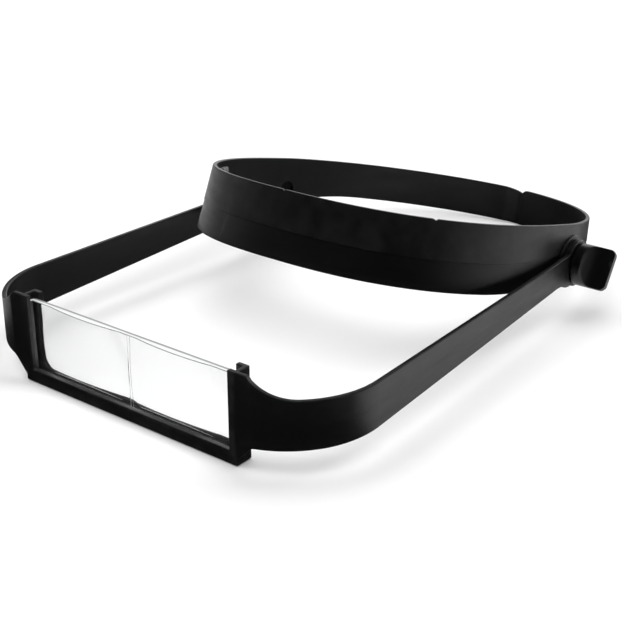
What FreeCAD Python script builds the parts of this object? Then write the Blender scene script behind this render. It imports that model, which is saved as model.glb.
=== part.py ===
import FreeCAD, Part
import Sketcher
import math
import os

# Head visor magnifier: a moulded headband, a U-shaped visor frame hinged to its sides with wing
# knobs, and a clear lens plate held in the frame's front.
# Frame: +Z up, +X the wearer's left, -Y ahead of the wearer. The origin is on the table, below the
# middle of the lens holder's front face. Lengths in mm, angles in degrees.

SHEET = {
    # lens holder, a channel open at the top
    "open_half": 50.2,        # half width of the front window
    "rear_open_half": 49.3,   # half width of the window in the rear rail
    "slot_half": 52.4,        # half width of the slot for the lens plate
    "block_half": 54.0,       # half width over the channel's side walls
    "holder_height": 35.5,
    "front_rail": 2.0,
    "slot_gap": 3.6,
    "rear_rail": 2.0,
    "bar_height": 5.2,
    "slot_floor": 2.6,
    "window_corner": 4.0,
    # front plate between holder and arms
    "plate_top_x": 58.3,
    "plate_dip_radius": 24.0,
    "plate_low_x": 52.3,
    "plate_heel_x": 59.8,
    # arms
    "strip_thick": 2.0,
    "corner_radius": 36.0,
    "corner_y": 35.0,
    "bend_x": 77.6,           # halfway round the corner, where plate and arm outlines meet
    "bend_y": 12.0,
    "arm_x": 88.3,            # outer face of the arm, continued to y = 0
    "arm_toe_in": 0.029,      # how much x the arm loses per mm of y
    "arm_top": 28.3,
    "arm_top_rise": 0.004,
    "arm_low": 9.2,
    "arm_low_rise": 0.0475,
    # pivot
    "pivot_y": 188.0,
    "pivot_z": 23.2,
    "eye_radius": 10.0,
    "eye_inner_x": 80.7,
    "eye_outer_x": 83.0,
    "eye_blend_top": 6.0,
    "eye_blend_low": 45.0,
    "eye_hole": 2.08,
    # headband
    "band_y": 185.7,
    "band_z": 40.45,
    "band_tilt": -14.0,
    "band_half_width": 78.6,
    "band_half_length": 93.5,
    "band_front_power": 2.58,  # squareness of the loop: 2 would be an ellipse
    "band_rear_power": 1.84,
    "band_thick": 1.8,
    "band_front_height": 28.0,
    "band_rear_height": 17.8,
    "band_front_flare": 0.137,
    "band_side_flare": 0.04,
    "band_rear_flare": 0.10,
    "boss_radius": 11.5,
    "boss_inner_x": 77.3,     # flush with the band's inner face
    "boss_outer_x": 80.0,
    "peg_radius": 1.4,
    "peg_hole": 1.75,
    "peg_pitch": 8.0,
    "tongue_gap": 0.3,
    "tongue_drop": 4.0,       # how much narrower the tongue is on each side
    "tongue_radius": 38.0,    # of the curve that takes its top edge down
    "pad_thick": 3.0,
    "pad_inset": 2.6,
    # pivot hardware
    "bolt_radius": 2.0,
    "bolt_head_radius": 4.5,
    "bolt_head_thick": 1.5,
    "bolt_end_x": 88.6,
    "friction_thick": 0.6,
    "friction_radius": 9.0,
    "flat_thick": 0.7,
    "flat_radius": 6.5,
    "spring_thick": 1.0,
    "spring_radius": 3.9,
    "washer_gap": 0.05,
    # wing knob
    "knob_radius": 9.0,
    "knob_length": 14.4,
    "knob_collar": 3.9,
    "wing_thick": 2.6,
    "wing_corner": 2.6,
    "wing_angle_left": -32.0,
    "wing_angle_right": 20.0,
    "insert_radius": 3.2,
    "insert_length": 3.7,
    "spring_seat": 1.3,
    "seat_radius": 4.4,
    # lens plate
    "plate_clearance": 0.2,
    "plate_thick": 2.4,
    "plate_top": 33.0,
    "panel_width": 45.0,
    "panel_height": 29.0,
    "panel_bulge": 1.9,
    "panel_radius": 140.0,
}

doc = FreeCAD.newDocument("head_visor_magnifier")
sheet = doc.addObject("Spreadsheet::Sheet", "sizes")
for row, (alias, value) in enumerate(SHEET.items(), start=1):
    sheet.set(f"A{row}", alias)
    sheet.set(f"B{row}", str(value))
    sheet.setAlias(f"B{row}", alias)
doc.recompute()


def size(alias):
    return float(sheet.get(alias))


def bound(feature, prop, expression):
    """Ties a property to the sheet; each <name> in the expression is one of its aliases."""
    for alias in SHEET:
        expression = expression.replace(f"<{alias}>", f"sizes.{alias}")
    feature.setExpression(prop, expression)


def vec(x, y, z=0.0):
    return FreeCAD.Vector(x, y, z)


# ---------------------------------------------------------------- PartDesign helpers

def new_body(label, turn=None, at=None):
    body = doc.addObject("PartDesign::Body", label)
    body.Label = label
    body.Placement = FreeCAD.Placement(at or vec(0, 0), turn or FreeCAD.Rotation())
    doc.recompute()
    return body


def sketch_on(body, role, name, offset=0.0):
    """A sketch on one of the body's origin planes, moved along the plane's own normal."""
    sketch = body.newObject("Sketcher::SketchObject", name)
    plane = next(f for f in body.Origin.OriginFeatures if f.Role == role)
    sketch.AttachmentSupport = [(plane, "")]
    sketch.MapMode = "FlatFace"
    sketch.AttachmentOffset = FreeCAD.Placement(vec(0, 0, offset), FreeCAD.Rotation())
    return sketch


def draw(sketch, outline):
    """Closed outline from (x, y) corners; a step given as (x, y, mx, my) is an arc through mx, my."""
    corners = [step[:2] for step in outline]
    for start, step in zip(corners, outline[1:] + outline[:1]):
        if len(step) == 4:
            arc = Part.Arc(vec(*start), vec(*step[2:]), vec(*step[:2]))
            sketch.addGeometry(arc, False)
        else:
            sketch.addGeometry(Part.LineSegment(vec(*start), vec(*step)), False)


def draw_circle(sketch, radius_alias, centre=(0.0, 0.0)):
    index = sketch.addGeometry(Part.Circle(vec(*centre), vec(0, 0, 1), size(radius_alias)), False)
    number = sketch.addConstraint(Sketcher.Constraint("Radius", index, size(radius_alias)))
    sketch.renameConstraint(number, radius_alias)
    bound(sketch, f"Constraints.{radius_alias}", f"<{radius_alias}>")


def feature_from(body, kind, name, sketch, length, reverse=False, both=False):
    """Pad or Pocket of a sketch; length is a sheet expression. Fails if the volume goes the wrong way."""
    before = body.Shape.Volume if body.Tip else 0.0
    feature = body.newObject(f"PartDesign::{kind}", name)
    feature.Profile = sketch
    feature.Reversed = reverse
    if both:
        feature.Midplane = True
    bound(feature, "Length", length)
    doc.recompute()
    gained = body.Shape.Volume - before
    if (kind == "Pad") != (gained > 0) or abs(gained) < 1e-6:
        raise RuntimeError(f"{name}: {kind} changed the volume by {gained:.4f}")
    return feature


# ---------------------------------------------------------------- outline helpers

def outline_face(steps, plane):
    """Face from (a, b) corners; a step (a, b, ma, mb) arrives by an arc through (ma, mb)."""
    place = {"XY": lambda a, b: vec(a, b, 0), "XZ": lambda a, b: vec(a, 0, b),
             "YZ": lambda a, b: vec(0, a, b)}[plane]
    edges = []
    for start, step in zip(steps, steps[1:] + steps[:1]):
        first, last = place(*start[:2]), place(*step[:2])
        if len(step) == 4:
            edges.append(Part.Arc(first, place(*step[2:]), last).toShape())
        else:
            edges.append(Part.LineSegment(first, last).toShape())
    return Part.Face(Part.Wire(edges))


def slab(low, high):
    return Part.makeBox(high[0] - low[0], high[1] - low[1], high[2] - low[2], vec(*low))


def disc(radius, low_x, high_x, y, z):
    return Part.makeCylinder(radius, high_x - low_x, vec(low_x, y, z), vec(1, 0, 0))


def mirror_x(shape):
    return shape.mirror(vec(0, 0, 0), vec(1, 0, 0))


def add_shape(label, shape, placement=None):
    shape = shape.removeSplitter() if len(shape.Solids) == 1 else shape
    feature = doc.addObject("Part::Feature", label)
    feature.Label = label
    feature.Shape = shape.Solids[0] if len(shape.Solids) == 1 else shape
    feature.Placement = placement or FreeCAD.Placement()
    return feature


# ---------------------------------------------------------------- visor frame

def strip_plan():
    """Plan of one half of the strip: front plate, rounded corner and arm."""
    toe = size("arm_toe_in")
    radius, centre_y = size("corner_radius"), size("corner_y")
    norm = math.hypot(1.0, toe)
    normal = (1.0 / norm, toe / norm)
    reach = size("arm_x") / norm
    centre_x = (reach - radius - normal[1] * centre_y) / normal[0]
    end_y = size("pivot_y")
    paths = []
    for inset in (0.0, size("strip_thick")):
        rad = radius - inset
        start_x = centre_x + math.sqrt(rad ** 2 - (centre_y - inset) ** 2)
        start_angle = math.atan2(inset - centre_y, start_x - centre_x)
        mid_angle = (start_angle + math.atan2(normal[1], normal[0])) / 2
        tangent = (centre_x + rad * normal[0], centre_y + rad * normal[1])
        middle = (centre_x + rad * math.cos(mid_angle), centre_y + rad * math.sin(mid_angle))
        end = ((reach - inset - normal[1] * end_y) / normal[0], end_y)
        paths.append(((start_x, inset), tangent, middle, end))
    outer, inner = paths
    return [(0, 0), outer[0], outer[1] + outer[2], outer[3], inner[3], inner[1],
            inner[0] + inner[2], (0, size("strip_thick"))]


def front_view():
    """Outline seen from the front: the plate dips to the arm above and rises to it below."""
    height, top, dip = size("holder_height"), size("arm_top"), size("plate_dip_radius")
    start_x = size("plate_top_x")
    rise = height - top
    centre_x = start_x + math.sqrt(dip ** 2 - (dip - rise) ** 2)
    half_turn = math.acos((dip - rise) / dip) / 2
    middle = (centre_x - dip * math.sin(half_turn), top + dip - dip * math.cos(half_turn))
    heel_x, heel_z = size("plate_heel_x"), size("arm_low") - 0.2
    arm_low = size("arm_low") + size("arm_low_rise") * size("bend_y")
    arm_top = top + size("arm_top_rise") * size("bend_y")
    bend_x = size("bend_x")
    return [(0, 0), (size("plate_low_x"), 0), (heel_x - 1.3, heel_z - 1.6),
            (heel_x + 2.5, heel_z, heel_x + 0.3, heel_z - 0.45), (bend_x, arm_low),
            (bend_x, arm_low - 3), (100, arm_low - 3), (100, arm_top + 2), (bend_x, arm_top + 2),
            (bend_x, arm_top), (centre_x, top), (start_x, height) + middle, (0, height)]


def blend_to_eye(line_z, rise, sign, blend):
    """Arc that joins an arm edge to the eyelet; sign is +1 for the upper edge, -1 for the lower."""
    py, pz, eye = size("pivot_y"), size("pivot_z"), size("eye_radius")
    centre_y = py
    for _ in range(20):
        centre_z = line_z + rise * centre_y + sign * blend
        centre_y = py - math.sqrt((eye + blend) ** 2 - (centre_z - pz) ** 2)
    on_line = (centre_y, centre_z - sign * blend)
    share = eye / (eye + blend)
    on_eye = (py + (centre_y - py) * share, pz + (centre_z - pz) * share)
    aim = ((on_line[0] + on_eye[0]) / 2 - centre_y, (on_line[1] + on_eye[1]) / 2 - centre_z)
    reach = blend / math.hypot(*aim)
    return on_line, on_eye, (centre_y + aim[0] * reach, centre_z + aim[1] * reach)


def side_view():
    """Outline seen from the side: a slightly tapered arm that ends in a round eyelet."""
    top, low = size("arm_top"), size("arm_low")
    py, pz, eye = size("pivot_y"), size("pivot_z"), size("eye_radius")
    up_line, up_eye, up_mid = blend_to_eye(top, size("arm_top_rise"), 1, size("eye_blend_top"))
    low_line, low_eye, low_mid = blend_to_eye(low, size("arm_low_rise"), -1, size("eye_blend_low"))
    clear_y = size("bend_y")
    return [(-1, -1), (clear_y, -1), (clear_y, low + size("arm_low_rise") * clear_y), low_line,
            low_eye + low_mid, up_eye + (py + eye, pz), up_line + up_mid,
            (clear_y, top + size("arm_top_rise") * clear_y),
            (clear_y, size("holder_height") + 1), (-1, size("holder_height") + 1)]


def make_visor_frame():
    py, pz = size("pivot_y"), size("pivot_z")
    height, bar = size("holder_height"), size("bar_height")
    plan = outline_face(strip_plan(), "XY").extrude(vec(0, 0, height))
    front = outline_face(front_view(), "XZ").extrude(vec(0, 260, 0))
    front.translate(vec(0, -1, 0))
    side = outline_face(side_view(), "YZ").extrude(vec(120, 0, 0))
    arm = plan.common(front).common(side)
    eye = disc(size("eye_radius"), size("eye_inner_x"), size("eye_outer_x"), py, pz)
    for low_x, high_x in ((size("eye_inner_x") - 4, size("eye_inner_x")),
                          (size("eye_outer_x"), size("eye_outer_x") + 4)):
        arm = arm.cut(disc(size("eye_radius") + 0.2, low_x, high_x, py, pz))
    arm = arm.fuse(eye)

    # half of the holder: a channel with a window through both rails, open at the top
    slot_back = size("front_rail") + size("slot_gap")
    depth = slot_back + size("rear_rail")
    corner = size("window_corner")
    block = slab((0, 0, 0), (size("block_half"), depth, height))
    arm = arm.fuse(block)
    rear_half = size("rear_open_half")
    turn = corner * (1 - math.sqrt(0.5))
    rear_window = outline_face(
        [(-1, bar), (rear_half - corner, bar),
         (rear_half, bar + corner, rear_half - turn, bar + turn), (rear_half, height + 1),
         (-1, height + 1)], "XZ").extrude(vec(0, size("rear_rail") + 2, 0))
    rear_window.translate(vec(0, slot_back - 1, 0))
    for hollow in (
            slab((-1, -1, bar), (size("open_half"), size("front_rail") + 1, height + 1)),
            slab((-1, size("front_rail"), size("slot_floor")),
                 (size("slot_half"), slot_back, height + 1)),
            rear_window):
        arm = arm.cut(hollow)
    arm = arm.cut(disc(size("eye_hole"), 70, 90, py, pz))
    whole = arm.fuse(mirror_x(arm))
    return add_shape("visor_frame", whole)


# ---------------------------------------------------------------- headband

def smooth(value):
    value = min(max(value, 0.0), 1.0)
    return value * value * (3 - 2 * value)


def band_ring(angle):
    """Point, outward normal and rear share at an angle; 0 is +X and 90 the back of the head."""
    c, s = math.cos(math.radians(angle)), math.sin(math.radians(angle))
    rear = smooth((s + 0.25) / 0.5)
    front_power = size("band_front_power")
    power = front_power + (size("band_rear_power") - front_power) * rear
    a, b = size("band_half_width"), size("band_half_length")
    rho = (abs(c) ** power + abs(s) ** power) ** (-1 / power)
    normal = vec(c * rho / a, s * rho / b, 0)
    normal.normalize()
    return vec(a * rho * c, b * rho * s, 0), normal, s


def band_height(angle):
    rear = smooth((math.sin(math.radians(angle)) + 0.55) / 1.1)
    front_height = size("band_front_height")
    return front_height + (size("band_rear_height") - front_height) * rear


def band_point(angle, drop, offset):
    """A point of the band: drop below the top edge, offset outwards from its outer face."""
    point, normal, s = band_ring(angle)
    end_flare = size("band_front_flare") if s < 0 else size("band_rear_flare")
    flare = size("band_side_flare") + (end_flare - size("band_side_flare")) * smooth(abs(s))
    return point + normal * (offset + flare * drop) - vec(0, 0, drop)


def strip_solid(stations):
    """Solid from (angle, upper drop, lower drop, outer offset, inner offset) stations."""
    curves = {}
    for edge, (drop_index, offset_index) in {"outer_top": (1, 3), "outer_low": (2, 3),
                                             "inner_top": (1, 4), "inner_low": (2, 4)}.items():
        points = [band_point(st[0], st[drop_index], st[offset_index]) for st in stations]
        spline = Part.BSplineCurve()
        spline.interpolate(points, Parameters=[float(i) for i in range(len(points))])
        curves[edge] = spline.toShape()
    loop = ("outer_top", "outer_low", "inner_low", "inner_top")
    faces = [Part.makeRuledSurface(curves[a], curves[b])
             for a, b in zip(loop, loop[1:] + loop[:1])]
    for end in (0, -1):
        corners = [band_point(stations[end][0], stations[end][d], stations[end][o])
                   for d, o in ((1, 3), (2, 3), (2, 4), (1, 4))]
        faces.append(Part.Face(Part.makePolygon(corners + corners[:1])))
    sewn = Part.makeCompound(faces)
    sewn.sewShape()
    solid = Part.makeSolid(sewn.Shells[0] if sewn.Shells else Part.Shell(faces))
    if solid.Volume < 0:
        solid.reverse()
    return solid


def corner_cut(along, radius):
    """How much a rounded corner takes off the height at a distance from the strip's end."""
    rest = max(0.0, 1 - along / radius)
    return radius * (1 - math.sqrt(max(0.0, 1 - rest * rest)))


def band_stations():
    """One moulded strip: round the head once, then on as a narrow tongue outside its own start."""
    thick, layer = size("band_thick"), size("band_thick") + size("tongue_gap")
    upper_corner, lower_corner = 4.4, 1.0
    start, turn = 84.9, 360.0
    arc_mm = 1.63                       # mm of band per degree at the back of the head
    stations = []
    for along in [0, 0.06, 0.25, 0.5, 0.8, 1.2, 1.8, 2.6, 3.4, 4.4]:
        angle = start - along / arc_mm
        stations.append((angle, corner_cut(along, upper_corner),
                         band_height(angle) - corner_cut(along, lower_corner), 0.0, -thick))
    steps = 96
    last = stations[-1][0]
    finish = start - turn + 8.0
    for i in range(1, steps + 1):
        angle = last + (finish - last) * i / steps
        stations.append((angle, 0.0, band_height(angle), 0.0, -thick))
    tongue_end = start - turn - 31.0
    drop, radius = size("tongue_drop"), size("tongue_radius")
    fall = math.sqrt(radius ** 2 - (radius - drop) ** 2)
    count = 44
    for i in range(1, count + 1):
        angle = finish + (tongue_end - finish) * i / count
        travel = (finish - angle) * arc_mm
        upper = radius - math.sqrt(radius ** 2 - min(travel, fall) ** 2)
        lower = drop * smooth((travel - 13.5) / 12.0)
        out = layer * smooth((travel - 2.0) / 9.5)
        tip_cut = corner_cut((angle - tongue_end) * arc_mm, 4.4)
        stations.append((angle, upper + tip_cut, band_height(angle) - lower - tip_cut,
                         out, out - thick))
    return stations


def along_normal(angle, drop, radius, inner, outer):
    """A round pin across the band at an angle, between two offsets from its outer face."""
    start, end = band_point(angle, drop, inner), band_point(angle, drop, outer)
    axis = end - start
    return Part.makeCylinder(radius, axis.Length, start, axis)


def pivot_in_band():
    """The pivot's y and z in the band's own tilted frame."""
    tilt = math.radians(-size("band_tilt"))
    dy, dz = size("pivot_y") - size("band_y"), size("pivot_z") - size("band_z")
    return (math.cos(tilt) * dy - math.sin(tilt) * dz, math.sin(tilt) * dy + math.cos(tilt) * dz)


def band_placement():
    return FreeCAD.Placement(vec(0, size("band_y"), size("band_z")),
                             FreeCAD.Rotation(vec(1, 0, 0), size("band_tilt")))


def make_headband():
    y, z = pivot_in_band()
    band = strip_solid(band_stations())
    thick, gap = size("band_thick"), size("tongue_gap")
    mid_drop = size("band_rear_height") / 2
    peg_angles = [75.5 - i * size("peg_pitch") / 1.6 for i in range(4)]
    for angle in peg_angles:
        band = band.cut(along_normal(angle, mid_drop, size("peg_hole"), 0.1, thick + gap + 1.5))
    for angle in peg_angles[:2]:
        band = band.fuse(along_normal(angle, mid_drop, size("peg_radius"), -0.8,
                                      thick + gap + 1.0))
        band = band.fuse(along_normal(angle, mid_drop, size("peg_radius") + 0.7,
                                      thick + gap + 0.3, thick + gap + 1.2))
    inner, outer = size("boss_inner_x"), size("boss_outer_x")
    for flip in (False, True):
        boss = disc(size("boss_radius"), inner, outer, y, z)
        rim = [e for e in boss.Edges if abs(e.BoundBox.XMin - outer) < 1e-6
               and abs(e.BoundBox.XMax - outer) < 1e-6]
        boss = boss.makeFillet(0.9, rim)
        recess = disc(size("bolt_head_radius") + 0.2, inner - 3, inner + size("bolt_head_thick") + 0.1,
                      y, z)
        hole = disc(size("bolt_radius") + 0.1, inner - 1, outer + 3, y, z)
        if flip:
            boss, recess, hole = mirror_x(boss), mirror_x(recess), mirror_x(hole)
        band = band.fuse(boss).cut(recess).cut(hole)
    return add_shape("headband", band, band_placement())


def make_brow_pad():
    thick, inset = size("band_thick"), size("pad_inset")
    stations = []
    for i in range(41):
        angle = -148 + 116 * i / 40
        stations.append((angle, inset, band_height(angle) - inset, -thick - 0.06,
                         -thick - 0.06 - size("pad_thick")))
    return add_shape("brow_pad", strip_solid(stations), band_placement())


# ---------------------------------------------------------------- pivot hardware

def side_placement(side):
    """Puts a piece drawn with +X outwards at the left or right pivot."""
    turn = FreeCAD.Rotation(vec(0, 0, 1), 0 if side == "left" else 180)
    return turn, vec(0, size("pivot_y"), size("pivot_z"))


def ring_body(label, side, start_x, length, outer_alias, hole):
    turn, at = side_placement(side)
    body = new_body(label, turn, at)
    sketch = sketch_on(body, "YZ_Plane", f"{label}_ring", start_x)
    draw_circle(sketch, outer_alias)
    sketch.addGeometry(Part.Circle(vec(0, 0), vec(0, 0, 1), hole), False)
    feature_from(body, "Pad", f"{label}_pad", sketch, length)
    return body


def make_bolt(side):
    turn, at = side_placement(side)
    body = new_body(f"pivot_bolt_{side}", turn, at)
    head_x = size("boss_inner_x") + 0.05
    head = sketch_on(body, "YZ_Plane", f"bolt_head_{side}", head_x)
    draw_circle(head, "bolt_head_radius")
    feature_from(body, "Pad", f"bolt_head_pad_{side}", head, "<bolt_head_thick>")
    shank = sketch_on(body, "YZ_Plane", f"bolt_shank_{side}", head_x)
    draw_circle(shank, "bolt_radius")
    feature_from(body, "Pad", f"bolt_shank_pad_{side}", shank,
                 "<bolt_end_x> - <boss_inner_x> - 0.05")
    slot = sketch_on(body, "YZ_Plane", f"bolt_slot_{side}", head_x)
    half, width = size("bolt_head_radius") + 1, 0.5
    draw(slot, [(-half, -width), (half, -width), (half, width), (-half, width)])
    feature_from(body, "Pocket", f"bolt_slot_cut_{side}", slot, "0.7", reverse=True)
    return body


def make_knob(side):
    """A round collar that thins through two scoops into a flat wing, turned to its own angle."""
    turn, at = side_placement(side)
    turn = turn.multiply(FreeCAD.Rotation(vec(1, 0, 0), size(f"wing_angle_{side}")))
    body = new_body(f"wing_knob_{side}", turn, at)
    start = size("eye_outer_x") + size("washer_gap") * 2 + size("flat_thick")
    length, radius = size("knob_length"), size("knob_radius")
    blank = sketch_on(body, "YZ_Plane", f"knob_blank_{side}", start)
    draw_circle(blank, "knob_radius")
    feature_from(body, "Pad", f"knob_pad_{side}", blank, "<knob_length>")
    collar, wing = start + size("knob_collar"), size("wing_thick") / 2
    end, scoop = start + length + 1, radius + 1
    for sign in (1, -1):
        cut = sketch_on(body, "XY_Plane", f"knob_scoop_{side}_{'a' if sign > 0 else 'b'}")
        draw(cut, [(end, sign * wing), (end, sign * scoop), (collar, sign * scoop),
                   (collar + 5.5, sign * wing, collar + 1.9, sign * (wing + 2.8))])
        feature_from(body, "Pocket", f"knob_scoop_cut_{side}_{'a' if sign > 0 else 'b'}", cut,
                     "<knob_radius> * 2.4", both=True)
    corner, tip = size("wing_corner"), start + length
    turn_in = corner * (1 - math.sqrt(0.5))
    for name, sign in (("upper", 1), ("lower", -1)):
        cut = sketch_on(body, "XZ_Plane", f"knob_tip_{side}_{name}")
        draw(cut, [(tip, sign * (radius - corner)),
                   (tip - corner, sign * radius, tip - turn_in, sign * (radius - turn_in)),
                   (tip - corner, sign * (radius + 1)), (tip + 1, sign * (radius + 1)),
                   (tip + 1, sign * (radius - corner))])
        feature_from(body, "Pocket", f"knob_tip_cut_{side}_{name}", cut,
                     "<knob_radius> * 2.4", both=True)
    for name, alias, depth in (("socket", "insert_radius", "<spring_seat> + <insert_length> + 0.1"),
                               ("seat", "seat_radius", "<spring_seat>")):
        hole = sketch_on(body, "YZ_Plane", f"knob_{name}_{side}", start)
        draw_circle(hole, alias)
        feature_from(body, "Pocket", f"knob_{name}_cut_{side}", hole, depth, reverse=True)
    return body


def make_pivot_set(side):
    """Bolt, washers, insert and knob of one pivot, from the band outwards."""
    shaft = size("bolt_radius")
    make_bolt(side)
    ring_body(f"friction_washer_{side}", side, size("boss_outer_x") + 0.04, "<friction_thick>",
              "friction_radius", shaft + 0.1)
    flat_x = size("eye_outer_x") + size("washer_gap")
    ring_body(f"flat_washer_{side}", side, flat_x, "<flat_thick>", "flat_radius", shaft + 0.1)
    knob_x = flat_x + size("flat_thick") + size("washer_gap")
    ring_body(f"spring_washer_{side}", side, knob_x + 0.1, "<spring_thick>", "spring_radius",
              shaft + 0.15)
    ring_body(f"knob_insert_{side}", side, knob_x + size("spring_seat"), "<insert_length>",
              "insert_radius", shaft + 0.06)
    make_knob(side)


# ---------------------------------------------------------------- lens plate

def block_feature(name, spans):
    """Part::Box whose corner and size are sheet expressions, one (low, high) pair per axis."""
    box = doc.addObject("Part::Box", name)
    for axis, prop, (low, high) in zip("xyz", ("Length", "Width", "Height"), spans):
        bound(box, f"Placement.Base.{axis}", f"({low}) * 1mm")
        bound(box, prop, f"(({high}) - ({low})) * 1mm")
    return box


def make_lens_plate():
    """Flat-backed clear plate with a shallow dome on each panel and a full-depth rib at each end."""
    back = "<front_rail> + <slot_gap> - 0.12"
    face = f"{back} - <plate_thick>"
    low, top = "<slot_floor> + 0.1", "<plate_top>"
    half = "(<slot_half> - <plate_clearance>)"
    pieces = [block_feature("plate_sheet", ((f"-{half}", half), (face, back), (low, top)))]
    rib_face = "<front_rail> + 0.15"
    inner = "<open_half> + 0.35"
    for name, span in (("left", (inner, half)), ("right", (f"-{half}", f"-({inner})"))):
        pieces.append(block_feature(f"plate_rib_{name}", (span, (rib_face, back), (low, top))))
    mid_z = "(<plate_top> - <panel_height> / 2)"
    for name, sign in (("left", "1"), ("right", "-1")):
        centre = f"({sign} * (<panel_width> / 2 + 0.15))"
        panel = block_feature(f"panel_block_{name}", (
            (f"{centre} - <panel_width> / 2", f"{centre} + <panel_width> / 2"),
            (f"{face} - <panel_bulge> - 0.5", f"{back} - 0.5"),
            (f"{mid_z} - <panel_height> / 2 + 1.6", f"{mid_z} + <panel_height> / 2")))
        ball = doc.addObject("Part::Sphere", f"panel_ball_{name}")
        bound(ball, "Radius", "<panel_radius>")
        bound(ball, "Placement.Base.x", f"{centre} * 1mm")
        bound(ball, "Placement.Base.y", f"({face} - <panel_bulge> + <panel_radius>) * 1mm")
        bound(ball, "Placement.Base.z", f"{mid_z} * 1mm")
        dome = doc.addObject("Part::Common", f"panel_dome_{name}")
        dome.Base, dome.Tool = panel, ball
        pieces.append(dome)
    plate = doc.addObject("Part::MultiFuse", "lens_plate")
    plate.Label = "lens_plate"
    plate.Shapes = pieces
    plate.Refine = True
    return plate


# ---------------------------------------------------------------- build, check and write

make_visor_frame()
make_headband()
make_brow_pad()
make_lens_plate()
for pivot_side in ("left", "right"):
    make_pivot_set(pivot_side)
doc.recompute()

NODES = ["headband", "brow_pad", "visor_frame", "lens_plate"] + [
    f"{piece}_{side}" for side in ("left", "right")
    for piece in ("pivot_bolt", "friction_washer", "flat_washer", "spring_washer",
                  "knob_insert", "wing_knob")]

for item in doc.Objects:
    if "Invalid" in item.State or "Error" in item.State:
        raise RuntimeError(f"{item.Name} failed: {item.State}")
shapes = {}
for node in NODES:
    found = doc.getObjectsByLabel(node)[0]
    shape = found.Shape
    if shape.isNull() or not shape.isValid() or not shape.Solids:
        raise RuntimeError(f"{node} has no valid solid")
    shapes[node] = shape
    box = shape.BoundBox
    print(f"{node:24s} solids {len(shape.Solids)} volume {shape.Volume:9.1f} "
          f"x {box.XMin:7.2f} {box.XMax:7.2f} y {box.YMin:7.2f} {box.YMax:7.2f} "
          f"z {box.ZMin:7.2f} {box.ZMax:7.2f}")

os.makedirs("parts", exist_ok=True)
for node, shape in shapes.items():
    shape.exportStep(os.path.join("parts", f"{node}.step"))
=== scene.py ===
import math

import bmesh
import bpy
from mathutils import Matrix, Vector


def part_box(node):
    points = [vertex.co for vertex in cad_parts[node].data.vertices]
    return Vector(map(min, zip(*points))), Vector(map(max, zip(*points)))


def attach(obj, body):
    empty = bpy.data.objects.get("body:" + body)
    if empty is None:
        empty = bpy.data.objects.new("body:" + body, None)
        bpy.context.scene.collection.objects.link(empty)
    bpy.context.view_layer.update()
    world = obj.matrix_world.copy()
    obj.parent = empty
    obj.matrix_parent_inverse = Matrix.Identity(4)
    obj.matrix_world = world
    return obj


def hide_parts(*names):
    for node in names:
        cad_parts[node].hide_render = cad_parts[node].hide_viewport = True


# Looks of the head visor magnifier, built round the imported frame.
# Shapes are worked out in millimetres and scaled to metres when a piece is finished.

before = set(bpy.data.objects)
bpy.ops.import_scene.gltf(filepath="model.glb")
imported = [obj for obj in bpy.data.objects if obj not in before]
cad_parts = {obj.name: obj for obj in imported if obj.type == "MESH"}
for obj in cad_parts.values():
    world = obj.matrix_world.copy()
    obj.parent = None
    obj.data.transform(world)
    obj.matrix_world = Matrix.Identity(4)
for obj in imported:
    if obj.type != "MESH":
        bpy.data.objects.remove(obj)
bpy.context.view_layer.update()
MM = 0.001


def box_mm(node):
    low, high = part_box(node)
    return low / MM, high / MM


# ---------------------------------------------------------------- camera

VIEW_TURN, VIEW_RISE = math.radians(38.157), math.radians(23.588)
VIEW_TARGET = Vector((0.085896, 0.0, 0.066468))
VIEW_DISTANCE = 0.394597
VIEW_LENS = 74.57


def make_camera():
    camera = bpy.data.objects.new("camera", bpy.data.cameras.new("camera"))
    bpy.context.scene.collection.objects.link(camera)
    back = Vector((math.sin(VIEW_TURN) * math.cos(VIEW_RISE),
                   -math.cos(VIEW_TURN) * math.cos(VIEW_RISE), math.sin(VIEW_RISE)))
    camera.data.sensor_width = 36.0
    camera.data.lens = VIEW_LENS
    camera.data.clip_start, camera.data.clip_end = 0.01, 50.0
    camera.location = VIEW_TARGET + back * VIEW_DISTANCE
    camera.rotation_mode = "QUATERNION"
    camera.rotation_quaternion = (-back).to_track_quat("-Z", "Y")
    bpy.context.scene.camera = camera


make_camera()


# ---------------------------------------------------------------- mesh helpers

def mesh_object(name, points, faces):
    mesh = bpy.data.meshes.new(name)
    mesh.from_pydata([tuple(p) for p in points], [], faces)
    mesh.validate()
    work = bmesh.new()
    work.from_mesh(mesh)
    bmesh.ops.recalc_face_normals(work, faces=work.faces)
    work.to_mesh(mesh)
    work.free()
    obj = bpy.data.objects.new(name, mesh)
    bpy.context.scene.collection.objects.link(obj)
    return obj


def sweep(name, rings, closed=False):
    """Closed mesh through rings of equally many points; a closed sweep joins its last ring to its first."""
    count = len(rings[0])
    points = [p for ring in rings for p in ring]
    faces = []
    pairs = len(rings) if closed else len(rings) - 1
    for i in range(pairs):
        here, there = i * count, (i + 1) % len(rings) * count
        for j in range(count):
            k = (j + 1) % count
            faces.append((here + j, here + k, there + k, there + j))
    if not closed:
        faces.append(tuple(range(count)))
        faces.append(tuple(range((len(rings) - 1) * count, len(rings) * count)))
    return mesh_object(name, points, faces)


def turned(name, profile, start, axis, closed=False, steps=72):
    """A turned form: profile of (distance along the axis, radius). A closed profile makes a ring."""
    axis = Vector(axis).normalized()
    side = axis.orthogonal().normalized()
    up = axis.cross(side)
    rings = []
    for along, radius in profile:
        centre = Vector(start) + axis * along
        rings.append([centre + (side * math.cos(a) + up * math.sin(a)) * radius
                      for a in (2 * math.pi * i / steps for i in range(steps))])
    return sweep(name, rings, closed)


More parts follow.
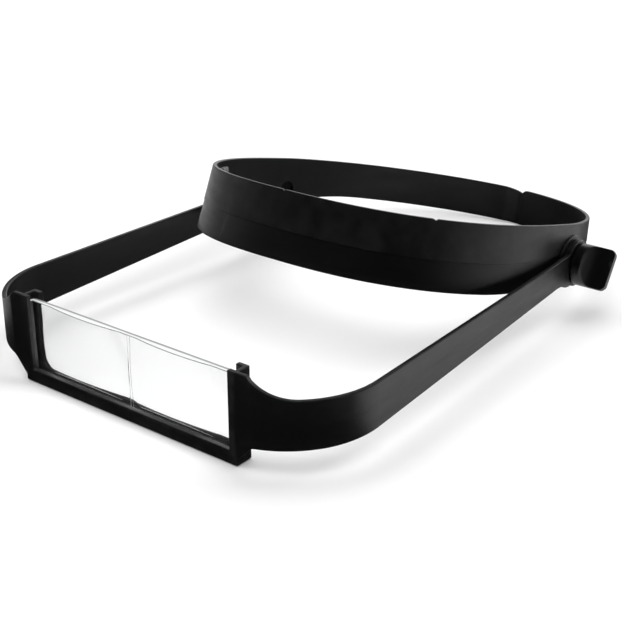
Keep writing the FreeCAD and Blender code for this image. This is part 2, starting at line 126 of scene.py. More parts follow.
def prism(name, outline, low_y, high_y):
    """An outline of (x, z) corners, pushed along Y."""
    front = [Vector((x, low_y, z)) for x, z in outline]
    rear = [Vector((x, high_y, z)) for x, z in outline]
    return sweep(name, [front, rear])


def apply_modifiers(obj):
    graph = bpy.context.evaluated_depsgraph_get()
    mesh = bpy.data.meshes.new_from_object(obj.evaluated_get(graph))
    obj.modifiers.clear()
    obj.data = mesh


def combine(obj, tool, operation):
    """UNION, DIFFERENCE or INTERSECT with a tool, which is used up."""
    change = obj.modifiers.new(operation, "BOOLEAN")
    change.object, change.operation, change.solver = tool, operation, "EXACT"
    apply_modifiers(obj)
    bpy.data.objects.remove(tool)
    return obj


def join(objects):
    first = objects[0]
    work = bmesh.new()
    for obj in objects:
        work.from_mesh(obj.data)
    work.to_mesh(first.data)
    work.free()
    for obj in objects[1:]:
        bpy.data.objects.remove(obj)
    return first


def bevel_edges(obj, width, keep_sharp=None):
    """Rounds every edge sharper than 30 degrees, except where keep_sharp(middle of edge) says so."""
    work = bmesh.new()
    work.from_mesh(obj.data)
    bmesh.ops.dissolve_limit(work, angle_limit=math.radians(0.5), verts=work.verts,
                             edges=work.edges)
    edges = []
    for edge in work.edges:
        if len(edge.link_faces) != 2 or edge.calc_face_angle() < math.radians(30):
            continue
        middle = (edge.verts[0].co + edge.verts[1].co) / 2
        if keep_sharp is None or not keep_sharp(middle):
            edges.append(edge)
    bmesh.ops.bevel(work, geom=edges, offset=width, segments=3, profile=0.5, affect="EDGES",
                    clamp_overlap=True)
    work.to_mesh(obj.data)
    work.free()


def finish_piece(obj, body, nodes, material, sharp=38.0):
    """Scales a piece to metres, shades it, and puts it in place of its CAD nodes."""
    obj.data.transform(Matrix.Scale(MM, 4))
    work = bmesh.new()
    work.from_mesh(obj.data)
    bmesh.ops.remove_doubles(work, verts=work.verts, dist=0.004 * MM)
    bmesh.ops.recalc_face_normals(work, faces=work.faces)
    work.to_mesh(obj.data)
    work.free()
    obj.data.shade_smooth()
    obj.data.set_sharp_from_angle(angle=math.radians(sharp))
    weighted = obj.modifiers.new("weighted", "WEIGHTED_NORMAL")
    weighted.keep_sharp = True
    obj.data.materials.clear()
    obj.data.materials.append(material)
    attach(obj, body)
    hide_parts(*nodes)
    return obj


def smooth(value):
    value = min(max(value, 0.0), 1.0)
    return value * value * (3 - 2 * value)


def mix(a, b, share):
    return a + (b - a) * share


# ---------------------------------------------------------------- materials

class Nodes:
    """A material's node tree with short calls for the nodes that the finishes share."""

    def __init__(self, name):
        self.material = bpy.data.materials.new(name)
        self.material.use_nodes = True
        self.tree = self.material.node_tree
        self.shader = self.tree.nodes["Principled BSDF"]
        self.place = self.tree.nodes.new("ShaderNodeTexCoord").outputs["Object"]

    def set(self, **values):
        for name, value in values.items():
            self.shader.inputs[name.replace("_", " ")].default_value = value

    def split(self, coordinate):
        """X, Y and Z of one of the piece's own texture coordinates."""
        node = self.tree.nodes.new("ShaderNodeSeparateXYZ")
        self.tree.links.new(self.place.node.outputs[coordinate], node.inputs[0])
        return node.outputs

    def stretched(self, scale):
        node = self.tree.nodes.new("ShaderNodeMapping")
        node.inputs["Scale"].default_value = scale
        self.tree.links.new(self.place, node.inputs["Vector"])
        return node.outputs["Vector"]

    def noise(self, scale, detail=3.0, place=None, rough=0.5):
        node = self.tree.nodes.new("ShaderNodeTexNoise")
        node.inputs["Scale"].default_value = scale
        node.inputs["Detail"].default_value = detail
        node.inputs["Roughness"].default_value = rough
        self.tree.links.new(place or self.place, node.inputs["Vector"])
        return node.outputs["Fac"]

    def cells(self, scale):
        node = self.tree.nodes.new("ShaderNodeTexVoronoi")
        node.inputs["Scale"].default_value = scale
        self.tree.links.new(self.place, node.inputs["Vector"])
        return node.outputs["Distance"]

    def ramp(self, factor, low, high, first, last):
        """Colour or grey from first at low to last at high."""
        node = self.tree.nodes.new("ShaderNodeValToRGB")
        for stop, position, value in zip(node.color_ramp.elements, (low, high), (first, last)):
            stop.position = position
            stop.color = (*value, 1.0) if isinstance(value, tuple) else (value, value, value, 1.0)
        self.tree.links.new(factor, node.inputs["Fac"])
        return node.outputs["Color"]

    def blend(self, factor, first, second):
        node = self.tree.nodes.new("ShaderNodeMix")
        node.data_type = "RGBA"
        self.tree.links.new(factor, node.inputs["Factor"])
        self.tree.links.new(first, node.inputs[6])
        self.tree.links.new(second, node.inputs[7])
        return node.outputs[2]

    def math(self, operation, first, second):
        node = self.tree.nodes.new("ShaderNodeMath")
        node.operation = operation
        for socket, value in zip(node.inputs, (first, second)):
            if isinstance(value, float):
                socket.default_value = value
            else:
                self.tree.links.new(value, socket)
        return node.outputs["Value"]

    def edges(self):
        """1 on outward edges, 0 on flat faces."""
        node = self.tree.nodes.new("ShaderNodeNewGeometry")
        return self.ramp(node.outputs["Pointiness"], 0.505, 0.56, 0.0, 1.0)

    def bump(self, height, depth, strength=1.0, below=None):
        node = self.tree.nodes.new("ShaderNodeBump")
        node.inputs["Strength"].default_value = strength
        node.inputs["Distance"].default_value = depth
        self.tree.links.new(height, node.inputs["Height"])
        if below is not None:
            self.tree.links.new(below, node.inputs["Normal"])
        return node.outputs["Normal"]

    def use(self, **sockets):
        for name, output in sockets.items():
            self.tree.links.new(output, self.shader.inputs[name.replace("_", " ")])
        return self.material


def black_plastic(name, tone, rough, grain):
    """Moulded black plastic: fine grain, slow flow marks, faint handling scuffs, paler worn edges."""
    m = Nodes(name)
    m.set(IOR=1.5, Specular_IOR_Level=0.5)
    flow = m.noise(9.0, 4.0, m.stretched((1.0, 0.35, 3.0)))
    body = m.ramp(flow, 0.3, 0.7, tuple(0.8 * c for c in tone), tuple(1.25 * c for c in tone))
    worn = m.math("MULTIPLY", m.edges(), m.ramp(m.noise(160.0, 5.0), 0.4, 0.65, 0.1, 0.6))
    pale = m.ramp(flow, 0.0, 1.0, 0.018, 0.03)
    scuffs = m.noise(55.0, 8.0, m.stretched((1.0, 0.5, 4.0)), 0.72)
    gloss = m.ramp(scuffs, 0.35, 0.75, rough - 0.04, rough + 0.09)
    coarse = m.bump(m.noise(260.0, 4.0), 0.00004, 0.30)
    fine = m.bump(m.noise(grain, 2.0), 0.00002, 0.45, coarse)
    return m.use(Base_Color=m.blend(worn, body, pale), Roughness=gloss, Normal=fine)


# Painted light on the lens's edges and seam: how far pale paint replaces the clear there.
EDGE_LIGHT_PAINT_SHARE, SEAM_LIGHT_PAINT_SHARE = 0.85, 0.45       # how far the lens's edges and seam are from clear
# The pale of the painted light, and the painted shade of the dark line along the bevel and the rear.
PAINTED_EDGE_LIGHT, PAINTED_EDGE_SHADE = (0.86, 0.87, 0.87), (0.14, 0.145, 0.145)


def clear_plastic():
    """Polished clear acrylic with faint polishing marks. Its upper and lower edges and the moulded
    seam between the panels carry painted light instead of clear: pale matt paint, with painted
    shade as a dark line along the bevel and the rear."""
    m = Nodes("clear_plastic")
    m.set(IOR=1.49)
    facing, place = m.split("Normal"), m.split("Object")
    up = facing["Z"]
    # Faces turned up or down (the lens's edges and ledge) get painted light instead of clear.
    edge = m.ramp(m.math("ABSOLUTE", up, 0.0), 0.40, 0.60, 0.0, EDGE_LIGHT_PAINT_SHARE)
    millimetres_out = m.math("MULTIPLY", m.math("ABSOLUTE", place["X"], 0.0), 1000.0)
    # A pale line of painted light along the seam.
    seam = m.ramp(millimetres_out, 0.10, 0.26, SEAM_LIGHT_PAINT_SHARE, 0.0)
    centimetres_back = m.math("MULTIPLY", place["Y"], 100.0)
    # matt is the share painted over with painted light and painted shade instead of clear.
    matt = m.math("MAXIMUM", edge, seam)
    tint = m.ramp(m.noise(14.0, 2.0), 0.35, 0.65, (0.885, 0.892, 0.890), (0.930, 0.936, 0.934))
    # Painted shade: a dark line along the bevel and along the rear.
    bevel = m.math("MULTIPLY", m.ramp(up, 0.3, 0.5, 0.0, 1.0), m.ramp(up, 0.85, 0.95, 1.0, 0.0))
    line = m.math("MAXIMUM", m.ramp(centimetres_back, 0.40, 0.45, 0.0, 1.0), bevel)
    pale = m.ramp(line, 0.0, 1.0, PAINTED_EDGE_LIGHT, PAINTED_EDGE_SHADE)
    haze = m.ramp(m.noise(70.0, 6.0), 0.45, 0.8, 0.004, 0.02)
    gloss = m.math("MAXIMUM", haze, m.math("MULTIPLY", matt, 0.35))
    return m.use(Base_Color=m.blend(matt, tint, pale), Roughness=gloss,
                 Transmission_Weight=m.math("SUBTRACT", 1.0, matt),
                 Normal=m.bump(m.noise(28.0, 1.0), 0.00001, 0.10))


def metal(name, colour, dark, rough, brushed):
    """Turned or stamped metal: fine tool marks across it and a mottled, slightly dulled surface."""
    m = Nodes(name)
    m.set(Metallic=1.0)
    mottled = m.ramp(m.noise(420.0, 5.0), 0.35, 0.7, colour, dark)
    marks = m.noise(900.0, 3.0, m.stretched(brushed))
    gloss = m.ramp(marks, 0.3, 0.7, rough - 0.06, rough + 0.12)
    return m.use(Base_Color=mottled, Roughness=gloss, Normal=m.bump(marks, 0.00001, 0.5))


def fibre():
    """Vulcanised fibre: a matt black sheet with short pressed fibres."""
    m = Nodes("vulcanised_fibre")
    strands = m.noise(1300.0, 5.0, m.stretched((1.0, 1.0, 0.25)), 0.7)
    colour = m.ramp(strands, 0.3, 0.75, (0.005, 0.005, 0.005), (0.018, 0.017, 0.017))
    dull = m.ramp(strands, 0.2, 0.8, 0.62, 0.85)
    return m.use(Base_Color=colour, Roughness=dull, Normal=m.bump(strands, 0.00003, 0.6))


def foam():
    """Closed-cell foam with a soft brushed face: pores, a faint nap and uneven dye."""
    m = Nodes("brow_foam")
    m.set(Sheen_Weight=0.35, Sheen_Roughness=0.5, Specular_IOR_Level=0.2)
    pores = m.cells(1500.0)
    nap = m.noise(2600.0, 4.0)
    dye = m.ramp(m.noise(90.0, 4.0), 0.3, 0.7, (0.009, 0.009, 0.010), (0.022, 0.022, 0.024))
    dull = m.ramp(pores, 0.05, 0.6, 0.95, 0.78)
    soft = m.bump(nap, 0.00005, 0.5)
    return m.use(Base_Color=dye, Roughness=dull, Normal=m.bump(pores, 0.00012, 0.6, soft))


band_black = black_plastic("band_black", (0.0022, 0.0022, 0.0024), 0.42, 1500.0)
frame_black = black_plastic("frame_black", (0.0036, 0.0036, 0.0038), 0.42, 1700.0)
knob_black = black_plastic("knob_black", (0.0018, 0.0018, 0.0019), 0.36, 2100.0)
steel = metal("blackened_steel", (0.030, 0.030, 0.031), (0.014, 0.014, 0.015), 0.38, (1.0, 0.2, 1.0))
spring = metal("spring_steel", (0.26, 0.27, 0.30), (0.14, 0.14, 0.16), 0.34, (1.0, 0.3, 1.0))
brass = metal("turned_brass", (0.78, 0.57, 0.26), (0.52, 0.36, 0.16), 0.28, (3.0, 1.0, 1.0))
CAD_FINISHES = {"steel": steel, "spring_steel": spring, "brass": brass, "fibre": fibre()}


def finish_cad_nodes():
    """Gives each carried-over CAD node the finish of its material slot."""
    by_name = {"pivot_bolt": "steel", "flat_washer": "steel", "spring_washer": "spring_steel",
               "knob_insert": "brass", "friction_washer": "fibre"}
    for side in ("left", "right"):
        for piece, slot in by_name.items():
            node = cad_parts[f"{piece}_{side}"]
            node.data.materials.clear()
            node.data.materials.append(CAD_FINISHES[slot])


# ---------------------------------------------------------------- sections

EDGE_STEPS = 4


def rounded_section(low, high, near, far, radius, face_line=None):
    """Points (across, up) round a strip's section. The near side is its outer face, which may carry
    a lengthwise mould line: (share of the height from the top, depth)."""
    radius = min(radius, (high - low) / 2 - 0.01, (far - near) / 2 - 0.01)
    corners = [((near + radius, high - radius), 90), ((near + radius, low + radius), 180),
               ((far - radius, low + radius), 270), ((far - radius, high - radius), 0)]
    points = []
    for index, ((across, up), start) in enumerate(corners):
        for step in range(EDGE_STEPS + 1):
            angle = math.radians(start + 90.0 * step / EDGE_STEPS)
            points.append((across + radius * math.cos(angle), up + radius * math.sin(angle)))
        if index == 0 and face_line:
            share, depth = face_line
            line = high - (high - low) * share
            half = min(0.08, (high - low) / 20)
            points += [(near, line + half), (near + depth, line - half),
                       (near + depth * 0.6, mix(line, low + radius, 0.5))]
        if index == 2:
            points += [(far, mix(low, high, share)) for share in (0.35, 0.65)]
    return points


# ---------------------------------------------------------------- headband

BAND_Y, BAND_Z, BAND_TILT = 185.7, 40.45, math.radians(-14.0)
BAND_HALF_WIDTH, BAND_HALF_LENGTH = 78.6, 93.5
BAND_THICK, TONGUE_GAP = 1.8, 0.3
FRONT_HEIGHT, REAR_HEIGHT = 28.0, 17.8
FRONT_FLARE, SIDE_FLARE, REAR_FLARE = 0.137, 0.04, 0.10
FRONT_POWER, REAR_POWER = 2.58, 1.84
BAND_EDGE = 0.5
BAND_LINE = (0.56, 0.20)
BAND_START, TONGUE_REACH = 84.9, 31.0
START_CORNERS, TIP_CORNER = (4.4, 1.0), 4.4
TONGUE_LEAVE, TONGUE_DROP, TONGUE_RADIUS = 8.0, 4.0, 38.0
LOW_EDGE_STEP, OUTWARD_STEP = (13.5, 12.0), (2.0, 9.5)      # (where it begins, how long it is)
MM_PER_DEGREE = 1.63
GATE_MARKS = (-92.0, -47.0)
BOSS_CORE, BOSS_RADIUS, BOSS_INNER, BOSS_OUTER, BOSS_EDGE = 1.5, 11.5, 77.3, 80.0, 0.9
BOLT_BORE, BOLT_SEAT, BOLT_SEAT_DEPTH = 2.1, 4.7, 1.6
PEG_RADIUS, PEG_HOLE, PEG_STEP, FIRST_PEG = 1.4, 1.75, 5.0, 75.5
PAD_THICK, PAD_INSET = 3.0, 2.6

band_place = Matrix.Translation((0, BAND_Y, BAND_Z)) @ Matrix.Rotation(BAND_TILT, 4, "X")
washer_low, washer_high = box_mm("flat_washer_left")
PIVOT_Y = (washer_low.y + washer_high.y) / 2
PIVOT_Z = (washer_low.z + washer_high.z) / 2


def band_height(angle):
    return mix(FRONT_HEIGHT, REAR_HEIGHT, smooth((math.sin(math.radians(angle)) + 0.55) / 1.1))


def band_point(angle, drop, offset):
    """A point of the band: drop below its top edge, offset outwards from its outer face."""
    c, s = math.cos(math.radians(angle)), math.sin(math.radians(angle))
    power = mix(FRONT_POWER, REAR_POWER, smooth((s + 0.25) / 0.5))
    rho = (abs(c) ** power + abs(s) ** power) ** (-1 / power)
    a, b = BAND_HALF_WIDTH, BAND_HALF_LENGTH
    normal = Vector((c * rho / a, s * rho / b, 0)).normalized()
    flare = mix(SIDE_FLARE, FRONT_FLARE if s < 0 else REAR_FLARE, smooth(abs(s)))
    return Vector((a * rho * c, b * rho * s, -drop)) + normal * (offset + flare * drop)


def gate_mark(angle):
    """Depth of the small nicks that the mould's gates left in the top edge."""
    return sum(0.55 * smooth(1 - abs(angle - mark) / 0.75) for mark in GATE_MARKS)


def band_ring(angle, top, low, outer, inset, line):
    """Section of the strip at an angle, between two drops; inset shrinks it towards a rounded end."""
    section = rounded_section(-low + inset, -top - inset, -outer + inset,
                              -outer + BAND_THICK - inset, max(BAND_EDGE - inset, 0.06), line)
    return [band_place @ band_point(angle, -up, -across) for across, up in section]


def end_inset(distance):
    reach = max(0.0, BAND_EDGE - distance)
    return BAND_EDGE - math.sqrt(max(0.0, BAND_EDGE ** 2 - reach ** 2))


def corner_cut(distance, radius):
    rest = max(0.0, 1 - distance / radius)
    return radius * (1 - math.sqrt(max(0.0, 1 - rest * rest)))


def make_band_strip():
    """One moulded strip: once round the head, then on as a narrower tongue outside its own start."""
    tongue_end = BAND_START - 360.0 - TONGUE_REACH
    leave = BAND_START - 360.0 + TONGUE_LEAVE
    fall = math.sqrt(TONGUE_RADIUS ** 2 - (TONGUE_RADIUS - TONGUE_DROP) ** 2)
    angles = [BAND_START - d / MM_PER_DEGREE
              for d in (0, 0.03, 0.08, 0.15, 0.25, 0.4, 0.6, 0.9, 1.3, 1.8, 2.4, 3.0, 3.7, 4.4)]
    while angles[-1] > tongue_end + TIP_CORNER / MM_PER_DEGREE:
        near_mark = min(abs(angles[-1] - mark) for mark in GATE_MARKS) < 1.6
        angles.append(angles[-1] - (0.15 if near_mark else 0.9))
    angles += [tongue_end + d / MM_PER_DEGREE
               for d in (4.2, 3.5, 2.8, 2.1, 1.5, 1.0, 0.6, 0.4, 0.22, 0.1, 0.03, 0)]
    rings = []
    for angle in angles:
        from_start = (BAND_START - angle) * MM_PER_DEGREE
        from_end = (angle - tongue_end) * MM_PER_DEGREE
        travel = max(0.0, leave - angle) * MM_PER_DEGREE
        tip = corner_cut(from_end, TIP_CORNER)
        arc = TONGUE_RADIUS - math.sqrt(TONGUE_RADIUS ** 2 - min(travel, fall) ** 2)
        top = arc + tip + corner_cut(from_start, START_CORNERS[0]) + gate_mark(angle)
        low = tip + corner_cut(from_start, START_CORNERS[1])
        low += TONGUE_DROP * smooth((travel - LOW_EDGE_STEP[0]) / LOW_EDGE_STEP[1])
        out = (BAND_THICK + TONGUE_GAP) * smooth((travel - OUTWARD_STEP[0]) / OUTWARD_STEP[1])
        rings.append(band_ring(angle, top, band_height(angle) - low, out,
                               end_inset(min(from_start, from_end)), BAND_LINE))
    return sweep("band_shell", rings)


def across_band(angle, drop, offset):
    """A point and the outward direction of a pin through the band."""
    start = band_place @ band_point(angle, drop, offset)
    return start, (band_place @ band_point(angle, drop, offset + 1)) - start


def ring_profile(inner, outer, near, far, edge):
    """Closed profile of a washer-like ring with rounded outer corners."""
    profile = [(near, inner)]
    for centre, start in (((near + edge, outer - edge), 180), ((far - edge, outer - edge), 90)):
        for step in range(EDGE_STEPS + 1):
            angle = math.radians(start - 90.0 * step / EDGE_STEPS)
            profile.append((centre[0] + edge * math.cos(angle), centre[1] + edge * math.sin(angle)))
    return profile + [(far, inner)]


def make_band_shell():
    """The strip with the adjuster's holes and pegs, and a boss with a bolt's seat at each pivot."""
    band = make_band_strip()
    peg_angles = [FIRST_PEG - PEG_STEP * i for i in range(4)]
    mid_drop = REAR_HEIGHT / 2
    holes = []
    for angle in peg_angles:
        start, axis = across_band(angle, mid_drop, 0.1)
        holes.append(turned("hole", [(0, PEG_HOLE), (3.5, PEG_HOLE)], start, axis, steps=40))
    combine(band, join(holes), "DIFFERENCE")
    reach = BAND_THICK + TONGUE_GAP
    pegs = []
    for angle in peg_angles[:2]:
        start, axis = across_band(angle, mid_drop, -0.8)
        head = PEG_RADIUS + 0.7
        pegs.append(turned("peg", [(0, PEG_RADIUS), (reach + 1.0, PEG_RADIUS), (reach + 1.1, head - 0.15),
                                   (reach + 1.25, head), (reach + 1.6, head - 0.1),
                                   (reach + 1.9, head - 0.6), (reach + 2.0, 0.3)],
                           start, axis, steps=40))
    profile = ring_profile(BOSS_CORE, BOSS_RADIUS, BOSS_INNER, BOSS_OUTER, BOSS_EDGE)
    seat_end = BOSS_INNER + BOLT_SEAT_DEPTH
    stepped = [(60, BOLT_SEAT), (seat_end, BOLT_SEAT), (seat_end, BOLT_BORE), (95, BOLT_BORE)]
    bores = []
    for sign in (1, -1):
        pivot = (0, PIVOT_Y, PIVOT_Z)
        pegs.append(turned("boss", profile, pivot, (sign, 0, 0), closed=True))
        bores.append(turned("bore", stepped, pivot, (sign, 0, 0)))
    combine(band, join(pegs), "UNION")
    combine(band, join(bores), "DIFFERENCE")
    return finish_piece(band, "headband", ["headband"], band_black)


def make_brow_pad():
    """Foam strip behind the brow: crowned, with rolled edges and shallow pressed channels."""
    first, last, channel = -148.0, -32.0, 14.5
    rings = []
    steps = 232
    for i in range(steps + 1):
        angle = mix(first, last, i / steps)
        reach = (min(i, steps - i) / steps) * (last - first) * 1.5
        close = math.sqrt(max(0.0, 1 - max(0.0, 1 - reach / 2.2) ** 2))
        press = 1 - 0.42 * smooth(1 - abs((angle - first) % channel - channel / 2) / 0.9)
        thick = mix(0.35, PAD_THICK * press, close)
        top, low = PAD_INSET, band_height(angle) - PAD_INSET
        squeeze = (1 - close) * 2.0
        middle, half = (top + low) / 2, (low - top) / 2 - squeeze
        ring = []
        count = 36
        for k in range(count):
            turn = 2 * math.pi * k / count
            c, s = math.cos(turn), math.sin(turn)
            up = math.copysign(abs(s) ** 0.42, s)
            depth = 0.5 + 0.5 * math.copysign(abs(c) ** 0.55, c)
            ring.append(band_place @ band_point(angle, middle + half * up,
                                                -BAND_THICK - 0.06 - thick * depth))
        rings.append(ring)
    pad = sweep("brow_cushion", rings)
    finish_piece(pad, "headband", ["brow_pad"], foam(), 60.0)
    return pad


# ---------------------------------------------------------------- visor frame

HOLDER_HEIGHT, FRONT_RAIL, SLOT_GAP, REAR_RAIL = 35.5, 2.0, 3.6, 2.0
SLOT_BACK, HOLDER_DEPTH = FRONT_RAIL + SLOT_GAP, FRONT_RAIL + SLOT_GAP + REAR_RAIL
OPEN_HALF, REAR_OPEN_HALF, SLOT_HALF, BLOCK_HALF = 50.2, 49.3, 52.4, 54.0
BAR_HEIGHT, SLOT_FLOOR, WINDOW_CORNER = 5.2, 2.6, 4.0
PLATE_TOP_X, DIP_RADIUS, PLATE_LOW_X, PLATE_HEEL_X = 58.3, 24.0, 52.3, 59.8
BEND_X, BEND_Y = 77.6, 12.0
STRIP_THICK, STRIP_EDGE = 2.0, 0.42
CORNER_RADIUS, CORNER_Y = 36.0, 35.0
ARM_X, ARM_TOE_IN = 88.3, 0.029
ARM_TOP, ARM_TOP_RISE, ARM_LOW, ARM_LOW_RISE = 28.3, 0.004, 9.2, 0.0475
EYE_RADIUS, EYE_INNER, EYE_OUTER, EYE_HOLE = 10.0, 80.7, 83.0, 2.08
EYE_BLEND_TOP, EYE_BLEND_LOW = 6.0, 45.0
ARM_LINE = (0.5, 0.14)


def strip_path():
    """(outer, inner) points in plan, from inside the holder round the corner to the eyelet."""
    norm = math.hypot(1.0, ARM_TOE_IN)
    normal = (1.0 / norm, ARM_TOE_IN / norm)
    reach = ARM_X / norm
    centre_x = (reach - CORNER_RADIUS - normal[1] * CORNER_Y) / normal[0]
    last_angle = math.atan2(normal[1], normal[0])
    pairs = [(Vector((x, 0.02)), Vector((x, STRIP_THICK - 0.02)))
             for x in (51.4, 52.3, 53.0, 53.6)]
    pairs += [(Vector((54 + 0.35 * i, 0)), Vector((54 + 0.35 * i, STRIP_THICK))) for i in range(16)]
    arcs = []
    for inset in (0.0, STRIP_THICK):
        radius = CORNER_RADIUS - inset
        start_x = centre_x + math.sqrt(radius ** 2 - (CORNER_Y - inset) ** 2)
        first_angle = math.atan2(inset - CORNER_Y, start_x - centre_x)
        arcs.append([Vector((centre_x + radius * math.cos(a), CORNER_Y + radius * math.sin(a)))
                     for a in (mix(first_angle, last_angle, i / 64) for i in range(65))])
    pairs += list(zip(*arcs))
    start_y = arcs[0][-1].y
    stations = [start_y + 3.0 * (i + 1) for i in range(int((PIVOT_Y - 24 - start_y) / 3.0))]
    stations += [PIVOT_Y - 24 + 0.6 * i for i in range(41)]
    for y in stations:
        outer = (reach - normal[1] * y) / normal[0]
        settle = smooth((y - PIVOT_Y + 22) / 12)
        outer = mix(outer, EYE_OUTER - 0.1, settle)
        thick = mix(STRIP_THICK, EYE_OUTER - EYE_INNER - 0.2, settle)
        pairs.append((Vector((outer, y)), Vector((outer - thick, y))))
    return pairs


def soft_min(a, b, width):
    return -width * math.log(math.exp(-a / width) + math.exp(-b / width))


def plate_edges(x):
    """(low, top) of the plate and corner, seen from the front."""
    centre_x = PLATE_TOP_X + math.sqrt(DIP_RADIUS ** 2 - (DIP_RADIUS - HOLDER_HEIGHT + ARM_TOP) ** 2)
    if x <= PLATE_TOP_X:
        top = HOLDER_HEIGHT
    elif x < centre_x:
        top = ARM_TOP + DIP_RADIUS - math.sqrt(DIP_RADIUS ** 2 - (centre_x - x) ** 2)
    else:
        top = ARM_TOP
    heel_x, heel_z = PLATE_HEEL_X + 2.5, ARM_LOW - 0.2
    rise = (ARM_LOW + ARM_LOW_RISE * BEND_Y - heel_z) / (BEND_X - heel_x)
    slope = (heel_z - 1.6) / (PLATE_HEEL_X - 1.3 - PLATE_LOW_X)
    low = soft_min(slope * (x - PLATE_LOW_X), heel_z + rise * (x - heel_x), 0.5)
    return max(0.0, low), top


def eye_blend(y, line, sign, radius):
    """Edge height where an arm's edge runs into the eyelet through an arc; sign is +1 above."""
    eye = EYE_RADIUS - 0.25
    centre_y = PIVOT_Y
    for _ in range(20):
        centre_z = line(centre_y) + sign * radius
        centre_y = PIVOT_Y - math.sqrt(max(0.0, (eye + radius) ** 2 - (centre_z - PIVOT_Z) ** 2))
    meet = centre_y + (PIVOT_Y - centre_y) * radius / (eye + radius)
    if y <= centre_y:
        return line(y)
    if y < meet:
        return centre_z - sign * math.sqrt(max(0.0, radius ** 2 - (y - centre_y) ** 2))
    return PIVOT_Z + sign * math.sqrt(max(0.0, eye ** 2 - (PIVOT_Y - y) ** 2))


def arm_edges(y):
    """(low, top) of the arm, seen from the side."""
    top = eye_blend(y, lambda v: ARM_TOP + ARM_TOP_RISE * v, 1, EYE_BLEND_TOP)
    low = eye_blend(y, lambda v: ARM_LOW + ARM_LOW_RISE * v, -1, EYE_BLEND_LOW)
    return low, top


def make_strip(sign):
    """Plate, corner and arm of one side as one swept strip."""
    rings = []
    for outer, inner in strip_path():
        plate_low, plate_top = plate_edges(outer.x)
        arm_low, arm_top = arm_edges(outer.y)
        share = smooth((outer.y - 6.0) / 12.0)
        low, top = mix(plate_low, arm_low, share), mix(plate_top, arm_top, share)
        across = inner - outer
        thick = across.length
        line_depth = ARM_LINE[1] * smooth((outer.y - 3) / 25) * smooth((PIVOT_Y - 14 - outer.y) / 12)
        section = rounded_section(low, top, 0.0, thick, STRIP_EDGE, (ARM_LINE[0], line_depth))
        ring = []
        for deep, up in section:
            spot = outer + across * (deep / thick)
            ring.append(Vector((sign * spot.x, spot.y, up)))
        rings.append(ring)
    return sweep("strip", rings)


def box_piece(low, high):
    outline = [(low[0], low[2]), (high[0], low[2]), (high[0], high[2]), (low[0], high[2])]
    return prism("box", outline, low[1], high[1])


def make_holder():
    """Channel for the lens plate: open at the top, with a window through both rails."""
    above = HOLDER_HEIGHT + 4
    holder = box_piece((-BLOCK_HALF, 0, 0), (BLOCK_HALF, HOLDER_DEPTH, HOLDER_HEIGHT))
    corner_steps = 6
    window = [(-REAR_OPEN_HALF, above), (REAR_OPEN_HALF, above)]
    for sign, order in ((1, range(corner_steps + 1)), (-1, range(corner_steps, -1, -1))):
        for i in order:
            angle = math.pi / 2 * i / corner_steps
            window.append((sign * (REAR_OPEN_HALF - WINDOW_CORNER + WINDOW_CORNER * math.cos(angle)),
                           BAR_HEIGHT + WINDOW_CORNER - WINDOW_CORNER * math.sin(angle)))
    cuts = (box_piece((-SLOT_HALF, FRONT_RAIL, SLOT_FLOOR), (SLOT_HALF, SLOT_BACK, above)),
            box_piece((-OPEN_HALF, -2, BAR_HEIGHT), (OPEN_HALF, FRONT_RAIL + 0.5, above)),
            prism("window", window, SLOT_BACK - 0.5, HOLDER_DEPTH + 2))
    for cut in cuts:
        combine(holder, cut, "DIFFERENCE")
    bevel_edges(holder, 0.38, lambda p: abs(abs(p.x) - BLOCK_HALF) < 0.01 and p.y < 0.01)
    return holder


def make_visor_shell():
    visor = make_holder()
    for sign in (1, -1):
        strip = make_strip(sign)
        profile = ring_profile(EYE_HOLE, EYE_RADIUS, EYE_INNER, EYE_OUTER, 0.7)
        bore = turned("bore", [(75, EYE_HOLE + 0.01), (90, EYE_HOLE + 0.01)],
                      (0, PIVOT_Y, PIVOT_Z), (sign, 0, 0))
        combine(strip, bore, "DIFFERENCE")
        eye = turned("eye", profile, (0, PIVOT_Y, PIVOT_Z), (sign, 0, 0), closed=True)
        combine(strip, eye, "UNION")
        combine(visor, strip, "UNION")
    visor.name = "visor_shell"
    return finish_piece(visor, "visor", ["visor_frame"], frame_black)


# ---------------------------------------------------------------- lens plate

PLATE_BACK = FRONT_RAIL + SLOT_GAP - 0.12
PLATE_THICK, PLATE_TOP, PLATE_LOW = 2.4, 33.0, SLOT_FLOOR + 0.1
PLATE_FACE = PLATE_BACK - PLATE_THICK
PLATE_HALF = SLOT_HALF - 0.2
PANEL_WIDTH, PANEL_HEIGHT, PANEL_BULGE, PANEL_RADIUS = 45.0, 29.0, 1.9, 140.0
PANEL_GAP = 0.3
RIB_X, RIB_FACE = OPEN_HALF + 0.35, FRONT_RAIL + 0.15
SEAM_WIDTH, SEAM_DEPTH = 0.30, 0.08
LEDGE_LOW, LEDGE_ROWS, LEDGE_PITCH = BAR_HEIGHT + 0.3, 13, 0.14
PLATE_EDGE, PLATE_ROWS = 0.22, 46


def lens_face(x, z):
    """Y of the plate's front: a shallow dome on each panel with a sloping ledge below, a seam
    between the panels and a rib at each end."""
    if abs(x) > RIB_X:
        return RIB_FACE
    off = abs(x) - PANEL_WIDTH / 2 - PANEL_GAP / 2
    up = z - (PLATE_TOP - PANEL_HEIGHT / 2)
    dome = 0.0
    if abs(off) <= PANEL_WIDTH / 2:
        dome = PANEL_BULGE - (off * off + up * up) / (2 * PANEL_RADIUS)
        dome = max(0.0, min(dome, z - LEDGE_LOW))
    seam = SEAM_DEPTH * smooth(1 - abs(x) / SEAM_WIDTH)
    return PLATE_FACE - dome + seam


